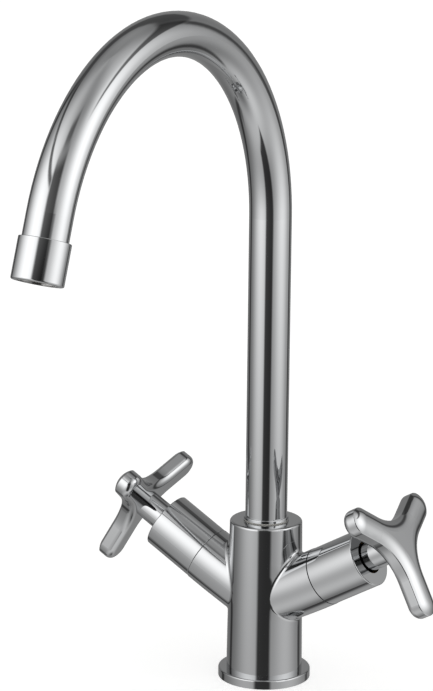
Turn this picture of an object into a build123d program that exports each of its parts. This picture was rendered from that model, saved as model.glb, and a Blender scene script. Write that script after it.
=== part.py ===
from build123d import *
import math
import os

# Two handle kitchen faucet: a one-hole body that stands on the sink or worktop,
# a tall swivel spout and two three-lobed handles on quarter-turn ceramic valves.
# Millimetres, +Z up. The origin is the centre of the foot, on the plane of the deck.
# The spout points towards -Y, the cold arm towards +X and the hot arm towards -X.

# ---------------------------------------------------------------- clearances
running_fit = 0.05          # radial, between a turning shaft and its bore
face_gap = 0.05             # axial, between faces that turn on each other
seat_gap = 0.02             # radial, between a seal and the bore that squeezes it
thread_gap = 0.05           # radial, between a plain-cut thread and its bore
clear_gap = 0.3             # between parts that move past each other freely
match_gap = 0.01            # when edges are picked by their radius

# ---------------------------------------------------------------- base
base_ring_diameter = 48.6
base_ring_height = 4.8
base_ring_rounding = 0.9
base_seal_width = 2.4
base_seal_depth = 1.6
base_seal_inset = 2.6       # from the ring's rim to the seal

# ---------------------------------------------------------------- body
body_foot_diameter = 40.0
body_top_diameter = 38.0
body_height = 86.1
body_top_rounding = 1.4
spigot_wall = 2.0           # wall of the foot that passes through the base ring

plug_diameter = 32.0
plug_height = 14.0
inlet_offset_x = 8.6        # inlets, to the left and right of the middle
inlet_offset_y = 3.0        # and towards the back
inlet_bore = 9.0            # M10 x 1 for the flexible tails
inlet_depth = 10.0
stud_offset_y = -9.4
stud_bore = 6.8             # M8 for the fixing stud
riser_bore = 7.0            # water ways up the body

# ---------------------------------------------------------------- arms
arm_angle = 30.0            # above the horizontal
arm_cross_height = 40.3     # where the straight axes of the two arms meet
arm_root_rise = 1.8         # the cast arm bends up by this at the body's axis
arm_length = 41.0           # from the crossing to the end face of the casting
arm_diameter = 31.2
arm_fillet = 2.2

# ---------------------------------------------------------------- valve, along the arm
valve_bore = 21.0           # G 1/2
valve_seat = 21.0           # from the crossing to the bottom of the bore
seat_port = 8.8
seat_port_depth = 14.0
outlet_port = 5.2
outlet_port_start = 67.0    # height on the body's axis
outlet_port_reach = 8.0     # past the valve seat

sleeve_outer = 18.4
sleeve_inner = 15.8
sleeve_length = 12.0
sleeve_lift = 0.6           # above the valve seat
seal_thickness = 1.8
seal_bore = 8.8
disc_diameter = 15.4
disc_thickness = 3.0
port_radius = 4.1           # centre line of the curved ports
port_width = 3.4
port_sweep = 52.0
ear_width = 2.4             # keys of the fixed disc
window_count = 4
window_width = 4.0
window_height = 3.1

gasket_thickness = 1.2
gasket_diameter = 25.8
hexagon_flats = 23.0
hexagon_height = 6.8
collar_height = 5.4         # threaded land that carries the cover
collar_groove = 2.2
gland_diameter = 17.0
gland_height = 3.1

cover_wall = 1.7
cover_step = 0.2            # the cover is this much slimmer than the casting, radially
cover_length = 29.4
cover_end_wall = 2.0
cover_hole = 17.6
cover_rounding = 0.6
cover_edge_rounding = 0.3   # at the seam
cover_seam = 0.25

# ---------------------------------------------------------------- spindle
spindle_diameter = 9.0
spindle_seal_section = 1.4
spindle_seal_spots = (9.0, 13.0)    # above the sleeve's ceiling
drive_bar_width = 7.0
drive_bar_height = 1.7
tongue_width = 3.0
tongue_depth = 1.25
stop_rib_width = 4.2
stop_lug_width = 2.4
stop_height = 2.0
quarter_turn = 90.0
clip_thickness = 0.8
clip_diameter = 12.4
clip_opening = 5.0
clip_groove_depth = 0.6
clip_groove_gap = 0.05      # between the clip and the groove's floor
spline_diameter = 8.0
spline_depth = 0.4
spline_teeth = 20
spline_tooth = 0.6
spline_lead = 1.0           # plain bore at the mouth of the neck
spline_length = 13.5
spindle_end_diameter = 7.0
spindle_end_length = 4.5

# ---------------------------------------------------------------- handle
handle_span = 39.8          # radius of the circle through the lobes' tips
handle_lobe_width = 14.8
handle_notch_radius = 26.0
handle_wall = 8.0           # height of the side wall
handle_crown = 2.6          # rise of the front face above the wall's edge
handle_crown_power = 2.5    # 2 is an even arch across a lobe, more is flatter in the middle
crown_shares = (0, 0.13, 0.33, 0.54, 0.75, 0.95)    # of a lobe's half width, from its edge
handle_front_rounding = 0.6
handle_back_rounding = 3.6
handle_lobes = 3
neck_diameter = 15.2
neck_visible = 13.8         # from the cover's end to the handle's back
neck_inside = 9.0           # below the cover's end
hot_handle_turn = 34.2      # direction of the first lobe with the valve shut
cold_handle_turn = 22.9
hexagon_depth = 0.8         # of a socket screw, as a share of its key's width
handle_screw_diameter = 4.0
handle_screw_length = 3.4
handle_screw_hexagon = 2.0
handle_screw_recess = 0.6

# ---------------------------------------------------------------- spout
tube_diameter = 22.0
tube_wall = 1.0
spout_rise = 248.0          # height where the arch begins
arch_radius = 106.0
arch_turn = 160.0
spout_end_length = 13.5     # straight after the arch

socket_diameter = 18.0
socket_depth = 26.1
foot_collar_diameter = 23.6
foot_collar_height = 1.65
foot_collar_rounding = 0.5
glide_thickness = 0.6
glide_diameter = 23.0
spigot_length = 16.6
spigot_bore = 12.0
spigot_shank = 14.0         # brazed into the tube
spigot_chamfer = 0.6
spigot_seal_section = 2.3
spigot_seal_spots = (9.3, 13.7)     # below the body's top face
screw_groove_spot = 4.8             # below the body's top face
spout_screw_diameter = 5.0
spout_screw_recess = 0.8    # below the body's outside
spout_screw_dog = 2.8
spout_screw_hexagon = 2.5
groove_depth = 1.8

nozzle_shank = 12.0
nozzle_thread = 7.0
nozzle_bore = 16.0
aerator_diameter = 24.9
aerator_length = 20.0
aerator_overlap = 2.0       # the housing laps over the tube's end
aerator_rounding = 0.8
aerator_rim_rounding = 0.3  # at the tube
aerator_lip = 0.9
aerator_opening = 18.8
washer_thickness = 1.9
core_flange = 1.3
core_wall = 1.4
core_diameter = 20.5
core_hole = 1.8
core_ring_diameters = (11.4, 5.2)       # rings of holes
core_ring_counts = (10, 5)
screen_thickness = 0.6
screen_hole = 1.5
screen_pitch = 2.3
screen_rows = 7

os.makedirs("parts", exist_ok=True)


class PieceAxis:
    """Planes along one axis: across() is square to it, section holds it."""

    def __init__(self, origin, direction, sideways):
        self.origin = Vector(origin)
        self.direction = Vector(direction).normalized()
        self.sideways = Vector(sideways).normalized()
        self.axis = Axis(self.origin, self.direction)
        # In the section, x is the radius and y the distance along the axis.
        normal = self.sideways.cross(self.direction)
        self.section = Plane(self.origin, x_dir=self.sideways, z_dir=normal)

    def point(self, distance):
        return self.origin + self.direction * distance

    def across(self, distance):
        return Plane(self.point(distance), x_dir=self.sideways, z_dir=self.direction)


def circles(piece, radius):
    """The piece's round edges of this radius."""
    rounds = piece.edges().filter_by(GeomType.CIRCLE)
    return rounds.filter_by(lambda edge: abs(edge.radius - radius) < match_gap)


def save(piece, name):
    """Label a finished piece and write it to its own file."""
    piece.part.label = name
    export_step(piece.part, f"parts/{name}.step")


def arm_frame(side):
    """The axis of an arm: side is 1 for cold, -1 for hot."""
    slope = math.radians(arm_angle)
    direction = (side * math.cos(slope), 0, math.sin(slope))
    return PieceAxis((0, 0, arm_cross_height), direction, (0, side, 0))


arms = {"cold": arm_frame(1), "hot": arm_frame(-1)}
handle_turns = {"cold": cold_handle_turn, "hot": hot_handle_turn}

# Heights along an arm, worked out from the valve seat outwards.
sleeve_start = valve_seat + sleeve_lift
sleeve_ceiling = valve_seat + sleeve_length
fixed_disc_start = valve_seat + seal_thickness
moving_disc_start = fixed_disc_start + disc_thickness + face_gap
drive_bar_start = moving_disc_start + disc_thickness + face_gap
drive_bar_end = drive_bar_start + drive_bar_height
hexagon_start = arm_length + gasket_thickness
collar_start = hexagon_start + hexagon_height
collar_end = collar_start + collar_height
gland_end = collar_end + gland_height
cover_start = arm_length + cover_seam
cover_end = arm_length + cover_length
clip_start = gland_end + face_gap
handle_back = cover_end + neck_visible
neck_start = cover_end - neck_inside
shaft_end = neck_start - clear_gap
spline_start = neck_start + spline_lead
spline_end = spline_start + spline_length
spindle_tip = spline_end + spindle_end_length
handle_edge = handle_back + handle_wall
screw_station = spline_end + spindle_end_length / 2

cover_radius = arm_diameter / 2 - cover_step
cover_bore_radius = cover_radius - cover_wall
collar_radius = cover_bore_radius - thread_gap

# ---------------------------------------------------------------- base pieces
spigot_radius = plug_diameter / 2 + spigot_wall
ring_radius = base_ring_diameter / 2
seal_outer = ring_radius - base_seal_inset
seal_inner = seal_outer - base_seal_width

with BuildPart() as base_ring:
    with BuildSketch(Plane.XY):
        Circle(ring_radius)
        Circle(spigot_radius + thread_gap, mode=Mode.SUBTRACT)
    extrude(amount=base_ring_height)
    rim = base_ring.edges().group_by(Axis.Z)[-1].sort_by(SortBy.RADIUS)[-1]
    fillet(rim, base_ring_rounding)
    with BuildSketch(Plane.XY):
        Circle(seal_outer)
        Circle(seal_inner, mode=Mode.SUBTRACT)
    extrude(amount=base_seal_depth, mode=Mode.SUBTRACT)
save(base_ring, "base_ring")

with BuildPart() as base_seal:
    with BuildSketch(Plane.XY):
        Circle(seal_outer)
        Circle(seal_inner, mode=Mode.SUBTRACT)
    extrude(amount=base_seal_depth)
save(base_seal, "base_seal")

# The plug closes the foot and carries the threads for the tails and the stud.
inlets = ((inlet_offset_x, inlet_offset_y), (-inlet_offset_x, inlet_offset_y))

with BuildPart() as inlet_plug:
    with BuildSketch(Plane.XY):
        Circle(plug_diameter / 2)
    extrude(amount=plug_height)
    with BuildSketch(Plane.XY):
        with Locations(*inlets):
            Circle(inlet_bore / 2)
        with Locations((0, stud_offset_y)):
            Circle(stud_bore / 2)
    extrude(amount=inlet_depth, mode=Mode.SUBTRACT)
    with BuildSketch(Plane.XY.offset(inlet_depth)):
        with Locations(*inlets):
            Circle(riser_bore / 2)
    extrude(amount=plug_height - inlet_depth, mode=Mode.SUBTRACT)
save(inlet_plug, "inlet_plug")

# ---------------------------------------------------------------- body casting
foot_radius = body_foot_diameter / 2
top_radius = body_top_diameter / 2
riser_top = arm_cross_height + seat_port / 2

with BuildPart() as body_casting:
    with BuildSketch(Plane.XZ):
        Polygon(
            (0, 0),
            (spigot_radius, 0),
            (spigot_radius, base_ring_height),
            (foot_radius, base_ring_height),
            (top_radius, body_height),
            (0, body_height),
        )
    revolve(axis=Axis.Z)
    fillet(body_casting.edges().group_by(Axis.Z)[-1], body_top_rounding)

    # Each arm leaves the body in a shallow bend and ends square to the valve.
    for arm in arms.values():
        mouth = arm.point(arm_length)
        with BuildLine(Plane.XZ):
            TangentArc(
                (mouth.X, mouth.Z),
                (0, arm_cross_height + arm_root_rise),
                tangent=(-arm.direction.X, -arm.direction.Z),
            )
        with BuildSketch(arm.across(arm_length)):
            Circle(arm_diameter / 2)
        sweep()
    roots = body_casting.edges().filter_by(
        lambda edge: edge.geom_type not in (GeomType.CIRCLE, GeomType.LINE)
    )
    fillet(roots, arm_fillet)

    # Cavities: the foot, the spout's socket, and the water ways.
    with BuildSketch(Plane.XY):
        Circle(plug_diameter / 2 + seat_gap)
    extrude(amount=plug_height, mode=Mode.SUBTRACT)
    with BuildSketch(Plane.XY.offset(body_height)):
        Circle(socket_diameter / 2)
    extrude(amount=-socket_depth, mode=Mode.SUBTRACT)
    with BuildSketch(Plane.XY.offset(plug_height)):
        with Locations(*inlets):
            Circle(riser_bore / 2)
    extrude(amount=riser_top - plug_height, mode=Mode.SUBTRACT)
    for arm in arms.values():
        with BuildSketch(arm.across(valve_seat)):
            Circle(valve_bore / 2)
        extrude(amount=arm_length - valve_seat, mode=Mode.SUBTRACT)
        with BuildSketch(arm.across(valve_seat)):
            Circle(seat_port / 2)
        extrude(amount=-seat_port_depth, mode=Mode.SUBTRACT)
        # From the socket's wall to the upper side of the valve's chamber.
        uphill = arm.section.z_dir * -1
        port_end = arm.point(valve_seat + outlet_port_reach) + uphill * (valve_bore / 2)
        port_line = port_end - Vector(0, 0, outlet_port_start)
        with BuildSketch(Plane((0, 0, outlet_port_start), z_dir=port_line)):
            Circle(outlet_port / 2)
        extrude(amount=port_line.length, mode=Mode.SUBTRACT)
    # The set screw's hole opens at the back.
    screw_height = body_height - screw_groove_spot
    with BuildSketch(Plane((0, 0, screw_height), x_dir=(1, 0, 0), z_dir=(0, 1, 0))):
        Circle(spout_screw_diameter / 2 + thread_gap)
    extrude(amount=body_foot_diameter, mode=Mode.SUBTRACT)
save(body_casting, "body_casting")

# ---------------------------------------------------------------- spout
tube_radius = tube_diameter / 2
tube_bore_radius = tube_radius - tube_wall
glide_start = body_height + face_gap
collar_base = glide_start + glide_thickness
tube_start = collar_base + foot_collar_height

with BuildPart() as spout_tube:
    with BuildLine(Plane.YZ) as spout_path:
        rise = Line((0, tube_start), (0, spout_rise))
        arch = JernArc(rise @ 1, (0, 1), arch_radius, arch_turn)
        PolarLine(arch @ 1, spout_end_length, direction=arch % 1)
    with BuildSketch(Plane.XY.offset(tube_start)):
        Circle(tube_radius)
        Circle(tube_bore_radius, mode=Mode.SUBTRACT)
    sweep()
    flow_end = spout_path.wire() @ 1
    flow_direction = spout_path.wire() % 1
save(spout_tube, "spout_tube")

# The spigot turns in the body's socket: two seal grooves and one for the set screw.
spigot_radius_turned = socket_diameter / 2 - running_fit
seal_floor = spigot_radius_turned + running_fit - seat_gap - spigot_seal_section
groove_floor = spigot_radius_turned - groove_depth
spigot_end = body_height - spigot_length
seal_heights = [body_height - spot for spot in spigot_seal_spots]
screw_groove_height = spout_screw_dog + 2 * clear_gap

with BuildPart() as spout_spigot:
    with BuildSketch(Plane.XZ):
        Polygon(
            (spigot_bore / 2, spigot_end),
            (spigot_radius_turned, spigot_end),
            (spigot_radius_turned, collar_base),
            (foot_collar_diameter / 2, collar_base),
            (foot_collar_diameter / 2, tube_start),
            (tube_bore_radius - seat_gap, tube_start),
            (tube_bore_radius - seat_gap, tube_start + spigot_shank),
            (spigot_bore / 2, tube_start + spigot_shank),
        )
        with Locations(*[(spigot_radius_turned, height) for height in seal_heights]):
            groove_width = spigot_seal_section + 2 * seat_gap
            Rectangle(2 * (spigot_radius_turned - seal_floor), groove_width, mode=Mode.SUBTRACT)
        with Locations((spigot_radius_turned, screw_height)):
            Rectangle(2 * groove_depth, screw_groove_height, mode=Mode.SUBTRACT)
    revolve(axis=Axis.Z)
    lower_end = spout_spigot.edges().group_by(Axis.Z)[0].sort_by(SortBy.RADIUS)[-1]
    chamfer(lower_end, spigot_chamfer)
    collar_top = spout_spigot.edges().filter_by_position(Axis.Z, tube_start, tube_start)
    fillet(collar_top.sort_by(SortBy.RADIUS)[-1], foot_collar_rounding)
save(spout_spigot, "spout_spigot")

with BuildPart() as spout_seals:
    with BuildSketch(Plane.XZ):
        seal_centre = socket_diameter / 2 - seat_gap - spigot_seal_section / 2
        with Locations(*[(seal_centre, height) for height in seal_heights]):
            Circle(spigot_seal_section / 2 - seat_gap / 2)
    revolve(axis=Axis.Z)
save(spout_seals, "spout_seals")

with BuildPart() as spout_glide_ring:
    with BuildSketch(Plane.XY.offset(glide_start)):
        Circle(glide_diameter / 2)
        Circle(socket_diameter / 2, mode=Mode.SUBTRACT)
    extrude(amount=glide_thickness)
save(spout_glide_ring, "spout_glide_ring")

dog_tip = groove_floor + clear_gap
dog_base = socket_diameter / 2 + spout_screw_dog / 2
screw_head = top_radius - spout_screw_recess
with BuildPart() as spout_set_screw:
    with BuildSketch(Plane((0, dog_tip, screw_height), x_dir=(1, 0, 0), z_dir=(0, 1, 0))):
        Circle(spout_screw_dog / 2)
    extrude(amount=dog_base - dog_tip)
    with BuildSketch(Plane((0, dog_base, screw_height), x_dir=(1, 0, 0), z_dir=(0, 1, 0))):
        Circle(spout_screw_diameter / 2)
    extrude(amount=screw_head - dog_base)
    with BuildSketch(spout_set_screw.faces().sort_by(Axis.Y)[-1]):
        RegularPolygon(spout_screw_hexagon / 2, 6, major_radius=False)
    extrude(amount=-spout_screw_hexagon * hexagon_depth, mode=Mode.SUBTRACT)
save(spout_set_screw, "spout_set_screw")

# ---------------------------------------------------------------- spout outlet
outlet = PieceAxis(flow_end, flow_direction, (1, 0, 0))
housing_end = aerator_length - aerator_overlap
lip_start = housing_end - aerator_lip
screen_start = lip_start - screen_thickness
washer_start = nozzle_thread + face_gap
core_start = washer_start + washer_thickness
core_step = core_start + core_flange
thread_radius = tube_radius + running_fit
flange_radius = tube_radius - 2 * running_fit
core_radius = core_diameter / 2
housing_bore = core_radius + 3 * running_fit

with BuildPart() as nozzle_insert:
    with BuildSketch(outlet.section):
        Polygon(
            (nozzle_bore / 2, -nozzle_shank),
            (tube_bore_radius - seat_gap, -nozzle_shank),
            (tube_bore_radius - seat_gap, 0),
            (tube_radius, 0),
            (tube_radius, nozzle_thread),
            (nozzle_bore / 2, nozzle_thread),
        )
    revolve(axis=outlet.axis)
save(nozzle_insert, "nozzle_insert")

with BuildPart() as aerator_housing:
    with BuildSketch(outlet.section):
        Polygon(
            (thread_radius, -aerator_overlap),
            (aerator_diameter / 2, -aerator_overlap),
            (aerator_diameter / 2, housing_end),
            (aerator_opening / 2, housing_end),
            (aerator_opening / 2, lip_start),
            (housing_bore, lip_start),
            (housing_bore, core_step),
            (thread_radius, core_step),
        )
    revolve(axis=outlet.axis)
    rims = circles(aerator_housing, aerator_diameter / 2)
    fillet(rims.sort_by(outlet.axis)[-1], aerator_rounding)
    fillet(rims.sort_by(outlet.axis)[0], aerator_rim_rounding)
save(aerator_housing, "aerator_housing")

with BuildPart() as aerator_washer:
    with BuildSketch(outlet.across(washer_start)):
        Circle(flange_radius)
        Circle(nozzle_bore / 2, mode=Mode.SUBTRACT)
    extrude(amount=washer_thickness)
save(aerator_washer, "aerator_washer")

with BuildPart() as aerator_core:
    with BuildSketch(outlet.across(core_start)):
        Circle(flange_radius)
        for ring_diameter, hole_count in zip(core_ring_diameters, core_ring_counts):
            with PolarLocations(ring_diameter / 2, hole_count):
                Circle(core_hole / 2, mode=Mode.SUBTRACT)
    extrude(amount=core_flange)
    with BuildSketch(outlet.across(core_step)):
        Circle(core_radius)
        Circle(core_radius - core_wall, mode=Mode.SUBTRACT)
    extrude(amount=screen_start - core_step)
save(aerator_core, "aerator_core")

with BuildPart() as aerator_screen:
    with BuildSketch(outlet.across(screen_start)):
        Circle(core_radius)
        with HexLocations(screen_pitch / 2, screen_rows, screen_rows):
            Circle(screen_hole / 2, mode=Mode.SUBTRACT)
    extrude(amount=screen_thickness)
save(aerator_screen, "aerator_screen")

# ---------------------------------------------------------------- handle outline
lobe_half_width = handle_lobe_width / 2
lobe_tip_centre = handle_span - lobe_half_width


def lobed_sketch(plane, turn, inset):
    """The three-lobed outline, drawn in from its edge by the inset."""
    half_width = lobe_half_width - inset
    with BuildSketch(plane) as outline:
        for lobe in range(handle_lobes):
            with PolarLocations(0, 1, start_angle=turn + lobe * 360 / handle_lobes):
                with Locations((lobe_tip_centre / 2, 0)):
                    Rectangle(lobe_tip_centre, 2 * half_width)
                with Locations((lobe_tip_centre, 0)):
                    Circle(half_width)
        notches = outline.vertices().sort_by_distance((0, 0, 0))[:handle_lobes]
        fillet(notches, handle_notch_radius + inset)
    return outline


def crown_rise(inset):
    """Height of the front face above the wall's edge, at this distance from the outline."""
    return handle_crown * (1 - (1 - inset / lobe_half_width) ** handle_crown_power)


# ---------------------------------------------------------------- one set of valve and handle per side
bore_radius = spindle_diameter / 2 + running_fit
spindle_radius = spindle_diameter / 2
seal_ring_centre = bore_radius - seat_gap - spindle_seal_section / 2
spindle_seal_heights = [sleeve_ceiling + spot for spot in spindle_seal_spots]
spline_core = spline_diameter / 2 - spline_depth
stop_radius = disc_diameter / 2 - clear_gap
# Angles around the arm: the ribs stand at 0 and 180 degrees, the fixed disc's ports too.
# With the valve shut, each lug stands halfway between two ribs, less half the travel.
square_to_ribs = 90.0
lug_start = square_to_ribs - quarter_turn / 2
fixed_ports = (0.0, 180.0)
moving_ports = [port + quarter_turn for port in fixed_ports]

for name, arm in arms.items():
    lobe_turn = handle_turns[name]

    with BuildPart() as valve_body:
        with BuildSketch(arm.section):
            Polygon(
                (sleeve_inner / 2, sleeve_start),
                (sleeve_outer / 2, sleeve_start),
                (sleeve_outer / 2, sleeve_ceiling),
                (valve_bore / 2 - thread_gap, sleeve_ceiling),
                (valve_bore / 2 - thread_gap, collar_start),
                (collar_radius, collar_start),
                (collar_radius, collar_end),
                (gland_diameter / 2, collar_end),
                (gland_diameter / 2, gland_end),
                (bore_radius, gland_end),
                (bore_radius, sleeve_ceiling),
                (sleeve_inner / 2, sleeve_ceiling),
            )
            with Locations((collar_radius, (collar_start + collar_end) / 2)):
                Rectangle(2 * collar_groove, collar_groove, mode=Mode.SUBTRACT)
        revolve(axis=arm.axis)
        with BuildSketch(arm.across(hexagon_start)):
            RegularPolygon(hexagon_flats / 2, 6, major_radius=False)
            Circle(bore_radius, mode=Mode.SUBTRACT)
        extrude(amount=hexagon_height)
        # Four windows let the water out of the sleeve.
        with BuildSketch(arm.across(drive_bar_start)):
            with PolarLocations(sleeve_outer / 2, window_count, start_angle=square_to_ribs / 2):
                Rectangle(2 * (sleeve_outer - sleeve_inner), window_width)
        extrude(amount=window_height, mode=Mode.SUBTRACT)
        # Two notches key the fixed disc.
        with BuildSketch(arm.across(sleeve_start)):
            with PolarLocations(sleeve_outer / 2, 2, start_angle=square_to_ribs):
                Rectangle(2 * (sleeve_outer - sleeve_inner), ear_width + 2 * thread_gap)
        ear_top = fixed_disc_start + disc_thickness + face_gap
        extrude(amount=ear_top - sleeve_start, mode=Mode.SUBTRACT)
        # Two ribs stop the quarter turn.
        with BuildSketch(arm.across(sleeve_ceiling - stop_height)):
            rib_reach = (sleeve_inner - spindle_diameter) / 2 - running_fit
            with PolarLocations((sleeve_inner + spindle_diameter) / 4, 2):
                Rectangle(rib_reach, stop_rib_width)
            Circle(sleeve_inner / 2, mode=Mode.INTERSECT)
        extrude(amount=stop_height)
    save(valve_body, f"{name}_valve_body")

    with BuildPart() as valve_gasket:
        with BuildSketch(arm.across(arm_length)):
            Circle(gasket_diameter / 2)
            Circle(valve_bore / 2, mode=Mode.SUBTRACT)
        extrude(amount=gasket_thickness)
    save(valve_gasket, f"{name}_valve_gasket")

    with BuildPart() as seat_seal:
        with BuildSketch(arm.across(valve_seat)):
            Circle(sleeve_inner / 2 - seat_gap)
            Circle(seal_bore / 2, mode=Mode.SUBTRACT)
        extrude(amount=seal_thickness)
    save(seat_seal, f"{name}_seat_seal")

    # Ceramic discs: the fixed one is keyed to the sleeve, the other turns on it.
    with BuildPart() as fixed_disc:
        with BuildSketch(arm.across(fixed_disc_start)):
            Circle(disc_diameter / 2)
            with PolarLocations(sleeve_inner / 2, 2, start_angle=square_to_ribs):
                Rectangle(sleeve_outer - sleeve_inner - 2 * seat_gap, ear_width)
            for port in fixed_ports:
                SlotArc(
                    Edge.make_circle(
                        port_radius,
                        start_angle=port - port_sweep / 2,
                        end_angle=port + port_sweep / 2,
                    ),
                    port_width,
                    mode=Mode.SUBTRACT,
                )
        extrude(amount=disc_thickness)
    save(fixed_disc, f"{name}_fixed_disc")

    with BuildPart() as moving_disc:
        with BuildSketch(arm.across(moving_disc_start)):
            Circle(disc_diameter / 2)
            for port in moving_ports:
                SlotArc(
                    Edge.make_circle(
                        port_radius,
                        start_angle=port - port_sweep / 2,
                        end_angle=port + port_sweep / 2,
                    ),
                    port_width,
                    mode=Mode.SUBTRACT,
                )
        extrude(amount=disc_thickness)
        with BuildSketch(arm.across(moving_disc_start + disc_thickness)):
            Rectangle(disc_diameter, tongue_width + 2 * thread_gap)
        extrude(amount=-tongue_depth, mode=Mode.SUBTRACT)
    save(moving_disc, f"{name}_moving_disc")

    with BuildPart() as spindle:
        with BuildSketch(arm.section):
            Polygon(
                (0, drive_bar_start),
                (spindle_radius, drive_bar_start),
                (spindle_radius, shaft_end),
                (spline_core, shaft_end),
                (spline_core, spline_end),
                (spindle_end_diameter / 2, spline_end),
                (spindle_end_diameter / 2, spindle_tip),
                (0, spindle_tip),
            )
            with Locations(*[(bore_radius, height) for height in spindle_seal_heights]):
                ring_groove = 2 * (spindle_seal_section + 2 * seat_gap)
                Rectangle(ring_groove, spindle_seal_section + 2 * seat_gap, mode=Mode.SUBTRACT)
            with Locations((spindle_radius, clip_start + clip_thickness / 2)):
                clip_groove = clip_thickness + 2 * seat_gap
                Rectangle(2 * clip_groove_depth, clip_groove, mode=Mode.SUBTRACT)
        revolve(axis=arm.axis)
        with BuildSketch(arm.across(drive_bar_start)):
            Circle(stop_radius)
            Rectangle(disc_diameter, drive_bar_width, mode=Mode.INTERSECT)
        extrude(amount=drive_bar_height)
        with BuildSketch(arm.across(drive_bar_start)):
            Rectangle(2 * stop_radius - drive_bar_height, tongue_width)
        extrude(amount=face_gap - tongue_depth)
        # Two lugs meet the valve body's ribs at each end of the quarter turn.
        with BuildSketch(arm.across(drive_bar_end)):
            with PolarLocations(stop_radius / 2, 2, start_angle=lug_start):
                Rectangle(stop_radius, stop_lug_width)
            Circle(stop_radius, mode=Mode.INTERSECT)
        extrude(amount=sleeve_ceiling - drive_bar_end - clear_gap)
        with BuildSketch(arm.across(spline_start)):
            with PolarLocations(spline_core, spline_teeth):
                Rectangle(2 * spline_depth, spline_tooth)
        extrude(amount=spline_length)
    save(spindle, f"{name}_spindle")

    with BuildPart() as spindle_seals:
        with BuildSketch(arm.section):
            with Locations(*[(seal_ring_centre, height) for height in spindle_seal_heights]):
                Circle(spindle_seal_section / 2)
        revolve(axis=arm.axis)
    save(spindle_seals, f"{name}_spindle_seals")

    with BuildPart() as spindle_clip:
        with BuildSketch(arm.across(clip_start)):
            Circle(clip_diameter / 2)
            Circle(spindle_radius - clip_groove_depth + clip_groove_gap, mode=Mode.SUBTRACT)
            with Locations((clip_diameter / 2, 0)):
                Rectangle(clip_diameter, clip_opening, mode=Mode.SUBTRACT)
        extrude(amount=clip_thickness)
    save(spindle_clip, f"{name}_spindle_clip")

    with BuildPart() as cover:
        with BuildSketch(arm.section):
            Polygon(
                (cover_bore_radius, cover_start),
                (cover_radius, cover_start),
                (cover_radius, cover_end),
                (cover_hole / 2, cover_end),
                (cover_hole / 2, cover_end - cover_end_wall),
                (cover_bore_radius, cover_end - cover_end_wall),
            )
        revolve(axis=arm.axis)
        outer_edges = circles(cover, cover_radius)
        fillet(outer_edges.sort_by(arm.axis)[-1], cover_rounding)
        fillet(outer_edges.sort_by(arm.axis)[0], cover_edge_rounding)
    save(cover, f"{name}_cover")

    with BuildPart() as cover_seal:
        with BuildSketch(arm.section):
            cover_seal_section = collar_groove - 2 * seat_gap
            cover_seal_centre = cover_bore_radius - seat_gap - cover_seal_section / 2
            with Locations((cover_seal_centre, (collar_start + collar_end) / 2)):
                Circle(cover_seal_section / 2)
        revolve(axis=arm.axis)
    save(cover_seal, f"{name}_cover_seal")

    # The handle: a crowned three-lobed front on a splined neck.
    back_outline = lobed_sketch(arm.across(handle_back), lobe_turn, 0)
    crown_outlines = []
    for share in crown_shares:
        inset = share * lobe_half_width
        level = arm.across(handle_edge + crown_rise(inset))
        crown_outlines.append(lobed_sketch(level, lobe_turn, inset).sketch.face())

    with BuildPart() as handle:
        extrude(back_outline.sketch, amount=handle_wall)
        loft(crown_outlines)
        wall_edges = handle.edges().filter_by_position(
            arm.axis, handle_edge - running_fit, handle_edge + running_fit
        )
        fillet(wall_edges, handle_front_rounding)
        back_edges = handle.faces().sort_by(arm.axis)[0].outer_wire().edges()
        fillet(back_edges, handle_back_rounding)
        with BuildSketch(arm.across(neck_start)):
            Circle(neck_diameter / 2)
        extrude(amount=handle_back - neck_start)
        with BuildSketch(arm.across(neck_start)):
            Circle(spline_core + thread_gap)
            with PolarLocations(spline_core, spline_teeth):
                tooth_space = spline_tooth + 2 * thread_gap
                Rectangle(2 * (spline_depth + thread_gap), tooth_space)
        extrude(amount=spline_end - neck_start + face_gap, mode=Mode.SUBTRACT)
        with BuildSketch(arm.across(spline_end)):
            Circle(spline_core + thread_gap)
        extrude(amount=spindle_end_length + clear_gap, mode=Mode.SUBTRACT)
        # The grub screw's hole is at the back when the valve is shut.
        with BuildSketch(Plane(arm.point(screw_station), z_dir=(0, 1, 0))):
            Circle(handle_screw_diameter / 2 + thread_gap)
        extrude(amount=neck_diameter, mode=Mode.SUBTRACT)
    save(handle, f"{name}_handle")

    screw_outer = neck_diameter / 2 - handle_screw_recess
    with BuildPart() as handle_screw:
        screw_centre = arm.point(screw_station) + Vector(0, screw_outer, 0)
        with BuildSketch(Plane(screw_centre, z_dir=(0, 1, 0))):
            Circle(handle_screw_diameter / 2)
        extrude(amount=-handle_screw_length)
        with BuildSketch(Plane(screw_centre, z_dir=(0, 1, 0))):
            RegularPolygon(handle_screw_hexagon / 2, 6, major_radius=False)
        extrude(amount=-handle_screw_hexagon * hexagon_depth, mode=Mode.SUBTRACT)
    save(handle_screw, f"{name}_handle_screw")

print("outlet", [round(value, 1) for value in outlet.point(housing_end)])
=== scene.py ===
import math

import bmesh
import bpy
from mathutils import Matrix, Vector

bl_info = {
    "name": "Two handle kitchen tap",
    "version": (1, 0, 0),
    "blender": (4, 5, 0),
    "location": "View3D > Sidebar > Tap",
    "description": "Finishes and studio for a chrome kitchen tap with a swivel spout and two handles",
    "category": "Object",
}

# The tap stands on the XY plane. Its spout points towards -Y, in metres.
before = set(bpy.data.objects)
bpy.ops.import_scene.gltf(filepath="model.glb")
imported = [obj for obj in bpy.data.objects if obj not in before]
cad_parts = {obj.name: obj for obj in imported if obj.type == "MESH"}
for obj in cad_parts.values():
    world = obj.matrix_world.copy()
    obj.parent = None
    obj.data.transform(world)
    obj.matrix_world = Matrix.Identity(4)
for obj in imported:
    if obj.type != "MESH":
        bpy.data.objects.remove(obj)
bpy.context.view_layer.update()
mm = 0.001

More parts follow.
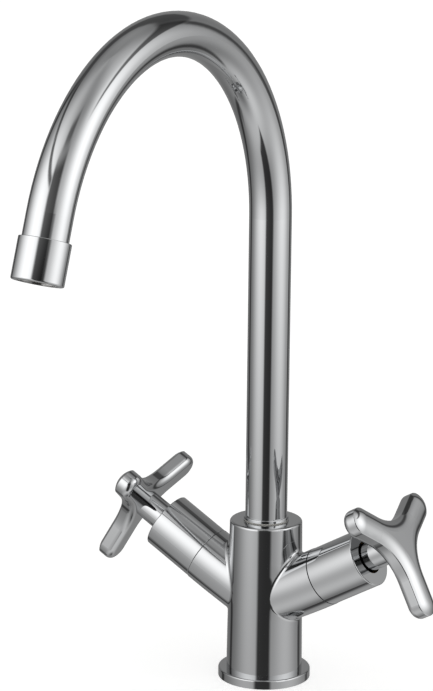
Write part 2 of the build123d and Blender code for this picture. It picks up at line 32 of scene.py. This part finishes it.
# ---------------------------------------------------------------- photograph
# The picture is 433 x 691 pixels. The lens looks down on the tap from its front right. Its
# place and angles come from a fit of the camera to the photograph's edges.
picture_height = 691
camera_place = (0.74846, -1.34756, 0.56701)
camera_turn = math.radians(30.09)
camera_tilt = math.radians(14.077)
camera_roll = math.radians(0.576)
focal_pixels = 3073.4
sensor_size = 36.0
off_centre_pixels = (2.02, -1.98)
farthest_seen = 50.0

# ---------------------------------------------------------------- surfaces
haze_patch = 20 * mm
most_haze = 0.03
scratch_size = 0.5 * mm
scratch_turns = (0.4, 1.9)
scratch_stretch = 0.04
scratch_roughness = 0.05
scratch_depth = 0.01 * mm
stain_size = 6 * mm
stain_shade = 0.72
groove_depth = 0.02 * mm
grain_shade = 0.85
rubber_index = 1.5
fibre_index = 1.5
acetal_index = 1.48
alumina_index = 1.77

# ---------------------------------------------------------------- light tent
# The plating mirrors a small round light tent, which only reflections see. Directions are seen
# from the tent's middle, in degrees: the azimuth is 0 towards the camera and grows to its right,
# and the elevation is 0 at the horizon.
tent_radius = 0.70
tent_middle = 0.25
tent_wall = 0.15
tent_roof = 0.33
tent_floor = 0.12
tent_segments = 96
# Where the wall fades into the roof, and into the floor.
roof_fade = (50, 74)
floor_fade = (-10, -40)
# Two like lamps stand outside, the left one nearer to the camera. Each lights the wall beside
# it and, more faintly, the floor below.
lamp_strength = 1.7
left_lamp = -50
right_lamp = 65
lamp_elevation = 15
lamp_width = 30
lamp_height = 30
floor_elevation = -60
floor_height = 15
# Each glow of a lamp on the fabric: strength, azimuth, elevation, spread in both.
tent_glows = {
    "left lamp": (lamp_strength, left_lamp, lamp_elevation, lamp_width, lamp_height),
    "right lamp": (lamp_strength, right_lamp, lamp_elevation, lamp_width, lamp_height),
    "left lamp on the floor": (
        lamp_strength / 5,
        left_lamp,
        floor_elevation,
        2 * lamp_width,
        floor_height,
    ),
    "right lamp on the floor": (
        lamp_strength / 3,
        right_lamp,
        floor_elevation,
        2 * lamp_width,
        floor_height,
    ),
    "floor round the tap": (0.15, 0, -70, 220, 10),
    "roof above the tap": (0.1, 0, 85, 55, 5),
    "back wall on the left": (0.15, -180, 0, lamp_width, 50),
    "back wall on the right": (0.15, 180, 0, lamp_width, 50),
}
# Each dark place: depth, azimuth from and to, and its softness there. Then come its lower and
# its upper edge: the elevation at either azimuth, and the edge's softness. The two halves of the
# opening overlap, so that no lighter band is left between them.
tent_darks = {
    "opening for the camera": (0.9, -25, 15, 5, (-50, -60, 3), (17, 17, 5)),
    "upper half of the opening": (0.85, -27, 8, 5, (4, 4, 4), (40, 40, 7)),
    "peak of the opening": (0.68, -20, 3, 6, (42, 43, 5), (53, 58, 5)),
    "left corner": (0.78, -131, -118, 4, (-62, -62, 5), (38, 38, 6)),
    "foot of the left corner": (0.50, -122, -107, 4, (-62, -62, 4), (-50, -47, 4)),
    "right corner": (0.74, 125, 136, 4, (-60, -60, 6), (38, 38, 6)),
    "left roof seam near the opening": (0.84, -75, -28, 3, (37.5, 28.5, 1.5), (43.5, 32.5, 1.5)),
    "left roof seam": (0.80, -113, -75, 3, (41.5, 37.5, 2), (51, 43.5, 1.5)),
    "left roof seam at the back": (0.60, -215, -113, 6, (37, 38, 3), (62, 53, 3)),
    "right roof seam": (0.80, 52, 140, 10, (36.5, 36.5, 2), (40, 58, 3)),
    "right roof seam at the back": (0.62, 140, 215, 8, (36.5, 36.5, 2), (58, 61, 3)),
    "shade under the tap": (0.70, 70, 215, 15, (-95, -95, 1), (-82, -79, 4)),
}


def linear_from_hex(text):
    """The linear colour of an sRGB hex value such as #C0C0C0."""
    channels = [int(text[i : i + 2], 16) / 255 for i in (1, 3, 5)]
    linear = [c / 12.92 if c <= 0.04045 else ((c + 0.055) / 1.055) ** 2.4 for c in channels]
    return tuple(linear)


def add_node(tree, kind, links=None, **settings):
    """Add a node. Links and settings go by socket name or number, the rest by attribute."""
    node = tree.nodes.new(kind)
    sockets = settings.pop("sockets", {})
    for attribute, value in settings.items():
        setattr(node, attribute, value)
    for socket, value in sockets.items():
        node.inputs[socket].default_value = value
    for socket, source in (links or {}).items():
        tree.links.new(source, node.inputs[socket])
    return node


# ---------------------------------------------------------------- settings
class TapFinishes(bpy.types.PropertyGroup):
    chrome_colour: bpy.props.FloatVectorProperty(
        name="Chrome",
        description="Colour of the bright chromium plating",
        subtype="COLOR",
        min=0.0,
        max=1.0,
        default=linear_from_hex("#C6C7C8"),
    )
    chrome_roughness: bpy.props.FloatProperty(
        name="Chrome roughness",
        description="Roughness of the buffed plating where it is clean",
        subtype="FACTOR",
        min=0.0,
        max=1.0,
        default=0.035,
    )
    brass_colour: bpy.props.FloatVectorProperty(
        name="Brass",
        description="Colour of the bare turned brass inside",
        subtype="COLOR",
        min=0.0,
        max=1.0,
        default=linear_from_hex("#D9B36C"),
    )
    rubber_colour: bpy.props.FloatVectorProperty(
        name="Rubber",
        description="Colour of the black rubber seals",
        subtype="COLOR",
        min=0.0,
        max=1.0,
        default=linear_from_hex("#1C1C1D"),
    )
    acetal_colour: bpy.props.FloatVectorProperty(
        name="Acetal",
        description="Colour of the moulded acetal pieces",
        subtype="COLOR",
        min=0.0,
        max=1.0,
        default=linear_from_hex("#E9E7E0"),
    )
    steel_colour: bpy.props.FloatVectorProperty(
        name="Stainless steel",
        description="Colour of the stainless steel screws and clips",
        subtype="COLOR",
        min=0.0,
        max=1.0,
        default=linear_from_hex("#BDB9B3"),
    )
    fibre_colour: bpy.props.FloatVectorProperty(
        name="Fibre",
        description="Colour of the pressed fibre gaskets",
        subtype="COLOR",
        min=0.0,
        max=1.0,
        default=linear_from_hex("#8A3B2C"),
    )
    ceramic_colour: bpy.props.FloatVectorProperty(
        name="Ceramic",
        description="Colour of the sintered alumina discs",
        subtype="COLOR",
        min=0.0,
        max=1.0,
        default=linear_from_hex("#F1EFEA"),
    )


class TapStudio(bpy.types.PropertyGroup):
    sweep_radius: bpy.props.FloatProperty(
        name="Sweep radius",
        description="Distance from the tap to the wall of the pale sweep",
        subtype="DISTANCE",
        unit="LENGTH",
        min=1.0,
        default=7.0,
    )
    sweep_height: bpy.props.FloatProperty(
        name="Sweep height",
        description="Height of the wall of the pale sweep",
        subtype="DISTANCE",
        unit="LENGTH",
        min=1.0,
        default=6.0,
    )
    sweep_glow: bpy.props.FloatProperty(
        name="Sweep glow",
        description="Light that comes through the sweep from behind",
        min=0.0,
        default=0.55,
    )
    tent_brightness: bpy.props.FloatProperty(
        name="Tent brightness",
        description="Strength of the light tent as a whole",
        min=0.0,
        default=1.0,
    )
    room_light: bpy.props.FloatProperty(
        name="Room light",
        description="Strength of the soft light from all round",
        min=0.0,
        default=0.6,
    )


# ---------------------------------------------------------------- finishes
def new_material(name):
    """An empty node material with its output and a principled shader."""
    material = bpy.data.materials.new(name)
    material.use_nodes = True
    tree = material.node_tree
    tree.nodes.clear()
    shader = add_node(tree, "ShaderNodeBsdfPrincipled")
    add_node(tree, "ShaderNodeOutputMaterial", {"Surface": shader.outputs["BSDF"]})
    return material, tree, shader


def chrome_plate(name, waviness, wave_size):
    """Bright chromium over nickel, buffed before plating: a cool mirror with faint swirls.

    The eye sees reflections that waver slightly on castings and run straight on tubes,
    a thin haze where it was wiped, and hairline scratches that catch the light.
    """
    finishes = bpy.context.scene.tap_finishes
    material, tree, shader = new_material(name)
    shader.inputs["Base Color"].default_value = (*finishes.chrome_colour, 1)
    shader.inputs["Metallic"].default_value = 1.0
    place = add_node(tree, "ShaderNodeTexCoord").outputs["Object"]

    # Wiping leaves a haze in patches.
    haze = add_node(
        tree,
        "ShaderNodeTexNoise",
        {"Vector": place},
        sockets={"Scale": 1 / haze_patch, "Detail": 4.0, "Roughness": 0.6},
    )
    haze_amount = add_node(
        tree,
        "ShaderNodeMapRange",
        {"Value": haze.outputs["Fac"]},
        sockets={"From Min": 0.45, "From Max": 0.75, "To Min": 0.0, "To Max": most_haze},
    )
    # Hairline scratches are long and thin, and cross at an angle.
    scratches = None
    for turn in scratch_turns:
        grain = add_node(
            tree,
            "ShaderNodeMapping",
            {"Vector": place},
            sockets={
                "Rotation": (turn, 0.7 * turn, turn),
                "Scale": (1, 1, scratch_stretch),
            },
        )
        line = add_node(
            tree,
            "ShaderNodeTexNoise",
            {"Vector": grain.outputs["Vector"]},
            sockets={"Scale": 1 / scratch_size, "Detail": 2.0},
        )
        thin = add_node(
            tree,
            "ShaderNodeMapRange",
            {"Value": line.outputs["Fac"]},
            interpolation_type="SMOOTHSTEP",
            sockets={"From Min": 0.66, "From Max": 0.74},
        )
        if scratches is None:
            scratches = thin.outputs["Result"]
        else:
            both = add_node(
                tree,
                "ShaderNodeMath",
                {0: scratches, 1: thin.outputs["Result"]},
                operation="MAXIMUM",
            )
            scratches = both.outputs["Value"]
    scratched = add_node(
        tree,
        "ShaderNodeMath",
        {0: scratches, 2: haze_amount.outputs["Result"]},
        operation="MULTIPLY_ADD",
        sockets={1: scratch_roughness},
    )
    roughness = add_node(
        tree,
        "ShaderNodeMath",
        {0: scratched.outputs["Value"]},
        operation="ADD",
        sockets={1: finishes.chrome_roughness},
    )
    tree.links.new(roughness.outputs["Value"], shader.inputs["Roughness"])

    # Buffing leaves the surface slightly wavy under the plating.
    wave = add_node(
        tree,
        "ShaderNodeTexNoise",
        {"Vector": place},
        sockets={"Scale": 1 / wave_size, "Detail": 1.0, "Roughness": 0.4},
    )
    waved = add_node(
        tree,
        "ShaderNodeBump",
        {"Height": wave.outputs["Fac"]},
        sockets={"Strength": 1.0, "Distance": waviness},
    )
    scored = add_node(
        tree,
        "ShaderNodeBump",
        {"Height": scratches, "Normal": waved.outputs["Normal"]},
        invert=True,
        sockets={"Strength": 0.15, "Distance": scratch_depth},
    )
    tree.links.new(scored.outputs["Normal"], shader.inputs["Normal"])
    return material


def turned_metal(name, colour, roughness, groove_pitch):
    """Bare metal from a lathe: fine rings from the tool, duller than plating."""
    material, tree, shader = new_material(name)
    shader.inputs["Metallic"].default_value = 1.0
    place = add_node(tree, "ShaderNodeTexCoord").outputs["Object"]
    stain = add_node(
        tree,
        "ShaderNodeTexNoise",
        {"Vector": place},
        sockets={"Scale": 1 / stain_size, "Detail": 5.0},
    )
    dark = [stain_shade * channel for channel in colour]
    tone = add_node(
        tree,
        "ShaderNodeMix",
        {"Factor": stain.outputs["Fac"]},
        data_type="RGBA",
        sockets={6: (*colour, 1), 7: (*dark, 1)},
    )
    tree.links.new(tone.outputs[2], shader.inputs["Base Color"])
    rough = add_node(
        tree,
        "ShaderNodeMapRange",
        {"Value": stain.outputs["Fac"]},
        sockets={"To Min": 0.7 * roughness, "To Max": 1.4 * roughness},
    )
    tree.links.new(rough.outputs["Result"], shader.inputs["Roughness"])
    groove = add_node(
        tree,
        "ShaderNodeTexNoise",
        {"Vector": place},
        sockets={"Scale": 1 / groove_pitch, "Detail": 1.0},
    )
    bump = add_node(
        tree,
        "ShaderNodeBump",
        {"Height": groove.outputs["Fac"]},
        sockets={"Strength": 0.3, "Distance": groove_depth},
    )
    tree.links.new(bump.outputs["Normal"], shader.inputs["Normal"])
    return material


def moulded_solid(name, colour, roughness, grain_size, grain_depth, index):
    """A moulded, pressed or sintered solid: matt to silky, with a fine even grain."""
    material, tree, shader = new_material(name)
    shader.inputs["IOR"].default_value = index
    place = add_node(tree, "ShaderNodeTexCoord").outputs["Object"]
    grain = add_node(
        tree,
        "ShaderNodeTexNoise",
        {"Vector": place},
        sockets={"Scale": 1 / grain_size, "Detail": 4.0},
    )
    shade = [grain_shade * channel for channel in colour]
    tone = add_node(
        tree,
        "ShaderNodeMix",
        {"Factor": grain.outputs["Fac"]},
        data_type="RGBA",
        sockets={6: (*colour, 1), 7: (*shade, 1)},
    )
    tree.links.new(tone.outputs[2], shader.inputs["Base Color"])
    rough = add_node(
        tree,
        "ShaderNodeMapRange",
        {"Value": grain.outputs["Fac"]},
        sockets={"To Min": 0.85 * roughness, "To Max": 1.15 * roughness},
    )
    tree.links.new(rough.outputs["Result"], shader.inputs["Roughness"])
    bump = add_node(
        tree,
        "ShaderNodeBump",
        {"Height": grain.outputs["Fac"]},
        sockets={"Strength": 0.4, "Distance": grain_depth},
    )
    tree.links.new(bump.outputs["Normal"], shader.inputs["Normal"])
    return material


def finish_nodes(names, material):
    """Give the CAD pieces of these names one finish."""
    for name in names:
        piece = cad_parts[name]
        piece.data.materials.clear()
        piece.data.materials.append(material)


def both_sides(*names):
    """The names of these pieces on the hot side and on the cold side."""
    return [f"{side}_{name}" for side in ("hot", "cold") for name in names]


# ---------------------------------------------------------------- pieces
class TAP_OT_cast_body(bpy.types.Operator):
    """Plate the body casting."""

    bl_idname = "tap.cast_body"
    bl_label = "Body casting"

    def execute(self, context):
        chrome = chrome_plate("chrome_on_cast_brass", 0.02 * mm, 14 * mm)
        finish_nodes(["body_casting"], chrome)
        return {"FINISHED"}


class TAP_OT_turned_pieces(bpy.types.Operator):
    """Plate the pieces that were drawn or turned: the tube, covers, ring and outlet."""

    bl_idname = "tap.turned_pieces"
    bl_label = "Tube and turned pieces"

    def execute(self, context):
        chrome = chrome_plate("chrome_on_drawn_brass", 0.004 * mm, 12 * mm)
        names = ["spout_tube", "spout_spigot", "base_ring", "aerator_housing"]
        finish_nodes(names + both_sides("cover"), chrome)
        return {"FINISHED"}


class TAP_OT_handles(bpy.types.Operator):
    """Plate the two die-cast handles."""

    bl_idname = "tap.handles"
    bl_label = "Handles"

    def execute(self, context):
        chrome = chrome_plate("chrome_on_cast_zinc", 0.012 * mm, 9 * mm)
        finish_nodes(both_sides("handle"), chrome)
        return {"FINISHED"}


class TAP_OT_brass_pieces(bpy.types.Operator):
    """Finish the bare brass inside: plug, valve bodies, spindles and the outlet's sleeve."""

    bl_idname = "tap.brass_pieces"
    bl_label = "Bare brass pieces"

    def execute(self, context):
        finishes = context.scene.tap_finishes
        brass = turned_metal("turned_brass", finishes.brass_colour, 0.28, 0.3 * mm)
        finish_nodes(["inlet_plug", "nozzle_insert"] + both_sides("valve_body", "spindle"), brass)
        return {"FINISHED"}


class TAP_OT_steel_pieces(bpy.types.Operator):
    """Finish the stainless steel screws, clips and screen."""

    bl_idname = "tap.steel_pieces"
    bl_label = "Steel pieces"

    def execute(self, context):
        finishes = context.scene.tap_finishes
        steel = turned_metal("stainless_steel", finishes.steel_colour, 0.3, 0.2 * mm)
        names = ["spout_set_screw", "aerator_screen"]
        finish_nodes(names + both_sides("handle_screw", "spindle_clip"), steel)
        return {"FINISHED"}


class TAP_OT_seals(bpy.types.Operator):
    """Finish the rubber seals and the fibre gaskets."""

    bl_idname = "tap.seals"
    bl_label = "Seals and gaskets"

    def execute(self, context):
        finishes = context.scene.tap_finishes
        # Moulded rubber is nearly black and matt, with a soft sheen at the edge.
        rubber = moulded_solid(
            "moulded_rubber", finishes.rubber_colour, 0.55, 0.4 * mm, 0.01 * mm, rubber_index
        )
        names = ["base_seal", "spout_seals", "aerator_washer"]
        finish_nodes(names + both_sides("spindle_seals", "seat_seal", "cover_seal"), rubber)
        # Pressed fibre is dull and faintly mottled.
        fibre = moulded_solid(
            "pressed_fibre", finishes.fibre_colour, 0.8, 0.8 * mm, 0.02 * mm, fibre_index
        )
        finish_nodes(both_sides("valve_gasket"), fibre)
        return {"FINISHED"}


class TAP_OT_moulded_pieces(bpy.types.Operator):
    """Finish the acetal pieces and the ceramic discs."""

    bl_idname = "tap.moulded_pieces"
    bl_label = "Acetal and ceramic pieces"

    def execute(self, context):
        finishes = context.scene.tap_finishes
        # Acetal is milky and slightly waxy.
        acetal = moulded_solid(
            "moulded_acetal", finishes.acetal_colour, 0.38, 0.6 * mm, 0.006 * mm, acetal_index
        )
        finish_nodes(["spout_glide_ring", "aerator_core"], acetal)
        # Lapped alumina is white and silky, with the grain just open.
        ceramic = moulded_solid(
            "lapped_alumina", finishes.ceramic_colour, 0.22, 0.3 * mm, 0.002 * mm, alumina_index
        )
        finish_nodes(both_sides("fixed_disc", "moving_disc"), ceramic)
        return {"FINISHED"}


# ---------------------------------------------------------------- studio
sweep_bend_steps = 12
sweep_segments = 96


def sweep_mesh(radius, height):
    """A pale disc that curves up into a round wall."""
    bend = height / 3
    flat = radius - bend
    outline = [Vector((0, 0, 0)), Vector((flat, 0, 0))]
    for step in range(1, sweep_bend_steps + 1):
        turn = math.pi / 2 * step / sweep_bend_steps
        outline.append(Vector((flat + bend * math.sin(turn), 0, bend - bend * math.cos(turn))))
    outline.append(Vector((radius, 0, height)))
    builder = bmesh.new()
    points = [builder.verts.new(place) for place in outline]
    edges = [builder.edges.new(pair) for pair in zip(points, points[1:])]
    bmesh.ops.spin(
        builder,
        geom=points + edges,
        cent=(0, 0, 0),
        axis=(0, 0, 1),
        angle=math.tau,
        steps=sweep_segments,
        use_merge=True,
    )
    bmesh.ops.remove_doubles(builder, verts=builder.verts, dist=0.1 * mm)
    bmesh.ops.recalc_face_normals(builder, faces=builder.faces)
    mesh = bpy.data.meshes.new("studio_sweep")
    for face in builder.faces:
        face.smooth = True
    builder.to_mesh(mesh)
    builder.free()
    return mesh


def sweep_material(glow):
    """White acrylic sheet, lit from behind: pale and even, with a soft shadow under the tap."""
    material, tree, shader = new_material("backlit_acrylic")
    shader.inputs["Base Color"].default_value = (*linear_from_hex("#F2F2F1"), 1)
    shader.inputs["Roughness"].default_value = 0.6
    shader.inputs["Emission Color"].default_value = (*linear_from_hex("#FFFFFF"), 1)
    shader.inputs["Emission Strength"].default_value = glow
    return material


def tent_material(brightness):
    """White tent fabric: dim walls with the soft glow of two lamps, dark seams and an opening."""
    material = bpy.data.materials.new("tent_fabric")
    material.use_nodes = True
    tree = material.node_tree
    tree.nodes.clear()
    place = add_node(tree, "ShaderNodeTexCoord").outputs["Object"]
    direction = add_node(tree, "ShaderNodeVectorMath", {0: place}, operation="NORMALIZE")
    axes = add_node(tree, "ShaderNodeSeparateXYZ", {"Vector": direction.outputs["Vector"]})
    towards = add_node(
        tree, "ShaderNodeMath", {0: axes.outputs["Y"]}, operation="MULTIPLY", sockets={1: -1.0}
    )
    around = add_node(
        tree,
        "ShaderNodeMath",
        {0: axes.outputs["X"], 1: towards.outputs["Value"]},
        operation="ARCTAN2",
    )
    above = add_node(tree, "ShaderNodeMath", {0: axes.outputs["Z"]}, operation="ARCSINE")
    azimuth = add_node(
        tree, "ShaderNodeMath", {0: around.outputs["Value"]}, operation="DEGREES"
    ).outputs["Value"]
    elevation = add_node(
        tree, "ShaderNodeMath", {0: above.outputs["Value"]}, operation="DEGREES"
    ).outputs["Value"]
    spot = add_node(tree, "ShaderNodeCombineXYZ", {"X": azimuth, "Y": elevation}).outputs["Vector"]

    # Away from the lamps the roof is lighter than the walls.
    roof = add_node(
        tree,
        "ShaderNodeMapRange",
        {"Value": elevation},
        interpolation_type="SMOOTHSTEP",
        sockets={
            "From Min": roof_fade[0],
            "From Max": roof_fade[1],
            "To Min": tent_wall,
            "To Max": tent_roof,
        },
    )
    ground = add_node(
        tree,
        "ShaderNodeMapRange",
        {"Value": elevation},
        interpolation_type="SMOOTHSTEP",
        sockets={
            "From Min": floor_fade[0],
            "From Max": floor_fade[1],
            "To Max": tent_floor - tent_wall,
        },
    )
    light = add_node(
        tree,
        "ShaderNodeMath",
        {0: roof.outputs["Result"], 1: ground.outputs["Result"]},
        operation="ADD",
    ).outputs["Value"]

    for strength, middle, height, wide, tall in tent_glows.values():
        offset = add_node(
            tree,
            "ShaderNodeVectorMath",
            {0: spot},
            operation="SUBTRACT",
            sockets={1: (middle, height, 0.0)},
        )
        scaled = add_node(
            tree,
            "ShaderNodeVectorMath",
            {0: offset.outputs["Vector"]},
            operation="DIVIDE",
            sockets={1: (wide, tall, 1.0)},
        ).outputs["Vector"]
        square = add_node(
            tree, "ShaderNodeVectorMath", {0: scaled, 1: scaled}, operation="DOT_PRODUCT"
        )
        fall = add_node(
            tree,
            "ShaderNodeMath",
            {0: square.outputs["Value"]},
            operation="MULTIPLY",
            sockets={1: -0.5},
        )
        bell = add_node(tree, "ShaderNodeMath", {0: fall.outputs["Value"]}, operation="EXPONENT")
        light = add_node(
            tree,
            "ShaderNodeMath",
            {0: bell.outputs["Value"], 2: light},
            operation="MULTIPLY_ADD",
            sockets={1: strength},
        ).outputs["Value"]

    for depth, left, right, side_soft, low, high in tent_darks.values():
        edges = [(azimuth, left, side_soft), (azimuth, right, -side_soft)]
        for (at_left, at_right, soft), inwards in ((low, 1), (high, -1)):
            edge = add_node(
                tree,
                "ShaderNodeMapRange",
                {"Value": azimuth},
                sockets={
                    "From Min": left,
                    "From Max": right,
                    "To Min": at_left,
                    "To Max": at_right,
                },
            )
            above_edge = add_node(
                tree,
                "ShaderNodeMath",
                {0: elevation, 1: edge.outputs["Result"]},
                operation="SUBTRACT",
            )
            edges.append((above_edge.outputs["Value"], 0, inwards * soft))
        shade = None
        for value, edge, soft in edges:
            ramp = add_node(
                tree,
                "ShaderNodeMapRange",
                {"Value": value},
                interpolation_type="SMOOTHSTEP",
                sockets={"From Min": edge - soft, "From Max": edge + soft},
            ).outputs["Result"]
            if shade is None:
                shade = ramp
            else:
                shade = add_node(
                    tree, "ShaderNodeMath", {0: shade, 1: ramp}, operation="MULTIPLY"
                ).outputs["Value"]
        kept = add_node(
            tree,
            "ShaderNodeMath",
            {0: shade},
            operation="MULTIPLY_ADD",
            sockets={1: -depth, 2: 1.0},
        )
        light = add_node(
            tree,
            "ShaderNodeMath",
            {0: light, 1: kept.outputs["Value"]},
            operation="MULTIPLY",
        ).outputs["Value"]

    glow = add_node(
        tree, "ShaderNodeEmission", {"Color": light}, sockets={"Strength": brightness}
    )
    add_node(tree, "ShaderNodeOutputMaterial", {"Surface": glow.outputs["Emission"]})
    material.cycles.emission_sampling = "NONE"
    return material


def tent_mesh(radius):
    """A round tent, seen from inside."""
    builder = bmesh.new()
    bmesh.ops.create_uvsphere(
        builder, u_segments=tent_segments, v_segments=tent_segments // 2, radius=radius
    )
    bmesh.ops.reverse_faces(builder, faces=builder.faces)
    mesh = bpy.data.meshes.new("light_tent")
    builder.to_mesh(mesh)
    builder.free()
    return mesh


class TAP_OT_stage(bpy.types.Operator):
    """Set up the pale sweep, the light tent and the camera."""

    bl_idname = "tap.stage"
    bl_label = "Studio and camera"

    def execute(self, context):
        scene = context.scene
        studio = scene.tap_studio
        sweep = bpy.data.objects.new(
            "studio_sweep", sweep_mesh(studio.sweep_radius, studio.sweep_height)
        )
        sweep.data.materials.append(sweep_material(studio.sweep_glow))
        scene.collection.objects.link(sweep)
        # The sweep is only a background: the plating mirrors the tent.
        sweep.visible_glossy = False
        sweep.visible_diffuse = False
        sweep.visible_shadow = False

        tent = bpy.data.objects.new("light_tent", tent_mesh(tent_radius))
        tent.data.materials.append(tent_material(studio.tent_brightness))
        tent.location = (0, 0, tent_middle)
        tent.rotation_euler = (0, 0, camera_turn)
        scene.collection.objects.link(tent)
        tent.visible_camera = False
        tent.visible_diffuse = False
        tent.visible_shadow = False

        # Soft white light from all round falls on the floor and on what isn't plated.
        world = bpy.data.worlds.new("soft_light")
        world.use_nodes = True
        world.node_tree.nodes["Background"].inputs["Strength"].default_value = studio.room_light
        world.node_tree.nodes["Background"].inputs["Color"].default_value = (1, 1, 1, 1)
        scene.world = world

        lens = bpy.data.cameras.new("camera")
        camera = bpy.data.objects.new("camera", lens)
        scene.collection.objects.link(camera)
        ahead = Vector((0, math.cos(camera_tilt), -math.sin(camera_tilt)))
        across = Vector((1, 0, 0))
        turn = Matrix.Rotation(camera_turn, 3, "Z")
        roll = Matrix.Rotation(-camera_roll, 3, turn @ ahead)
        right = roll @ turn @ across
        back = -(turn @ ahead)
        up = back.cross(right)
        facing = Matrix((right, up, back)).transposed()
        camera.matrix_world = Matrix.Translation(camera_place) @ facing.to_4x4()
        lens.sensor_width = sensor_size
        lens.lens = focal_pixels * sensor_size / picture_height
        lens.shift_x = off_centre_pixels[0] / picture_height
        lens.shift_y = off_centre_pixels[1] / picture_height
        lens.clip_end = farthest_seen
        scene.camera = camera
        scene.view_settings.view_transform = "Standard"
        return {"FINISHED"}


# ---------------------------------------------------------------- panel
PIECES = (
    TAP_OT_cast_body,
    TAP_OT_turned_pieces,
    TAP_OT_handles,
    TAP_OT_brass_pieces,
    TAP_OT_steel_pieces,
    TAP_OT_seals,
    TAP_OT_moulded_pieces,
    TAP_OT_stage,
)


class TAP_PT_panel(bpy.types.Panel):
    """Finishes and studio of the tap."""

    bl_idname = "TAP_PT_panel"
    bl_label = "Kitchen tap"
    bl_space_type = "VIEW_3D"
    bl_region_type = "UI"
    bl_category = "Tap"

    def draw(self, context):
        column = self.layout.column()
        for settings in (context.scene.tap_finishes, context.scene.tap_studio):
            for name in settings.__annotations__:
                column.prop(settings, name)
            column.separator()
        for piece in PIECES:
            column.operator(piece.bl_idname)


def register():
    for settings in (TapFinishes, TapStudio):
        bpy.utils.register_class(settings)
    bpy.types.Scene.tap_finishes = bpy.props.PointerProperty(type=TapFinishes)
    bpy.types.Scene.tap_studio = bpy.props.PointerProperty(type=TapStudio)
    for piece in PIECES:
        bpy.utils.register_class(piece)
    bpy.utils.register_class(TAP_PT_panel)


def unregister():
    bpy.utils.unregister_class(TAP_PT_panel)
    for piece in reversed(PIECES):
        bpy.utils.unregister_class(piece)
    del bpy.types.Scene.tap_studio
    del bpy.types.Scene.tap_finishes
    for settings in (TapStudio, TapFinishes):
        bpy.utils.unregister_class(settings)


def main():
    register()
    bpy.ops.tap.cast_body()
    bpy.ops.tap.turned_pieces()
    bpy.ops.tap.handles()
    bpy.ops.tap.brass_pieces()
    bpy.ops.tap.steel_pieces()
    bpy.ops.tap.seals()
    bpy.ops.tap.moulded_pieces()
    bpy.ops.tap.stage()


if __name__ == "__main__":
    main()
